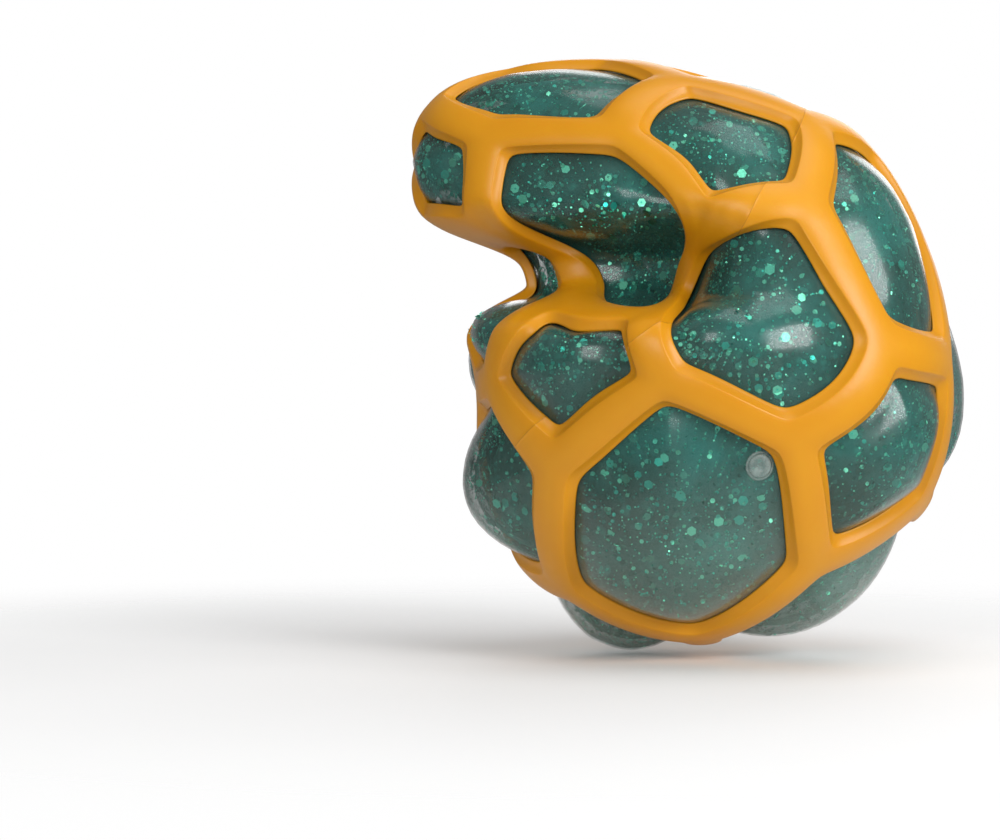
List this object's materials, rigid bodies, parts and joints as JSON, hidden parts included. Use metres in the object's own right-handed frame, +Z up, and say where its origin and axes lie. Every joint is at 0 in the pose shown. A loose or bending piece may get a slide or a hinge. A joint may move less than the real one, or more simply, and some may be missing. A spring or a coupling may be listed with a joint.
{
  "type": "stress ball",
  "caption": "Squeezable net ball, folded as a hand holds it: a clear skin full of glitter gel bulges through the windows of a moulded net of pentagons and hexagons.",
  "frame": {"origin": "middle of the groove that the thumb and fingers press into the ball, halfway through its depth", "axes": "+Z up, along the folded ball's height; +X to the right, away from the mouth of the fold; -Y towards the side that the thumb presses"},
  "size_m": [0.1447, 0.1241, 0.1561],
  "materials": {
    "net": "satin moulded thermoplastic rubber",
    "skin": "glossy clear thermoplastic rubber",
    "gel": "translucent teal gel",
    "plug": "glossy clear plug",
    "sealant": "glossy clear bead",
    "large_glitter": "metallised film",
    "fine_glitter": "metallised film"
  },
  "bodies": {
    "lower_ball": {"net_lower": "net", "skin_lower": "skin", "gel_lower": "gel", "fill_plug": "plug", "plug_sealant": "sealant", "large_glitter_lower": "large_glitter", "fine_glitter_lower": "fine_glitter"},
    "upper_lobe": {"net_upper": "net", "skin_upper": "skin", "gel_upper": "gel", "large_glitter_upper": "large_glitter", "fine_glitter_upper": "fine_glitter"},
    "swirl": {"swirling_gel": "gel", "large_glitter_swirl": "large_glitter", "fine_glitter_swirl": "fine_glitter"}
  },
  "joints": [
    {"name": "fold_flex", "type": "hinge", "parent": "lower_ball", "child": "upper_lobe", "pos_m": [0.0574, 0, -0.00084], "axis": [0, -1, 0], "range_deg": [0, 8], "stiffness_Nm_per_rad": 6},
    {"name": "glitter_swirl", "type": "hinge", "parent": "lower_ball", "child": "swirl", "pos_m": [0.0266, 0, -0.0505], "axis": [0, 0, 1], "continuous": true}
  ]
}
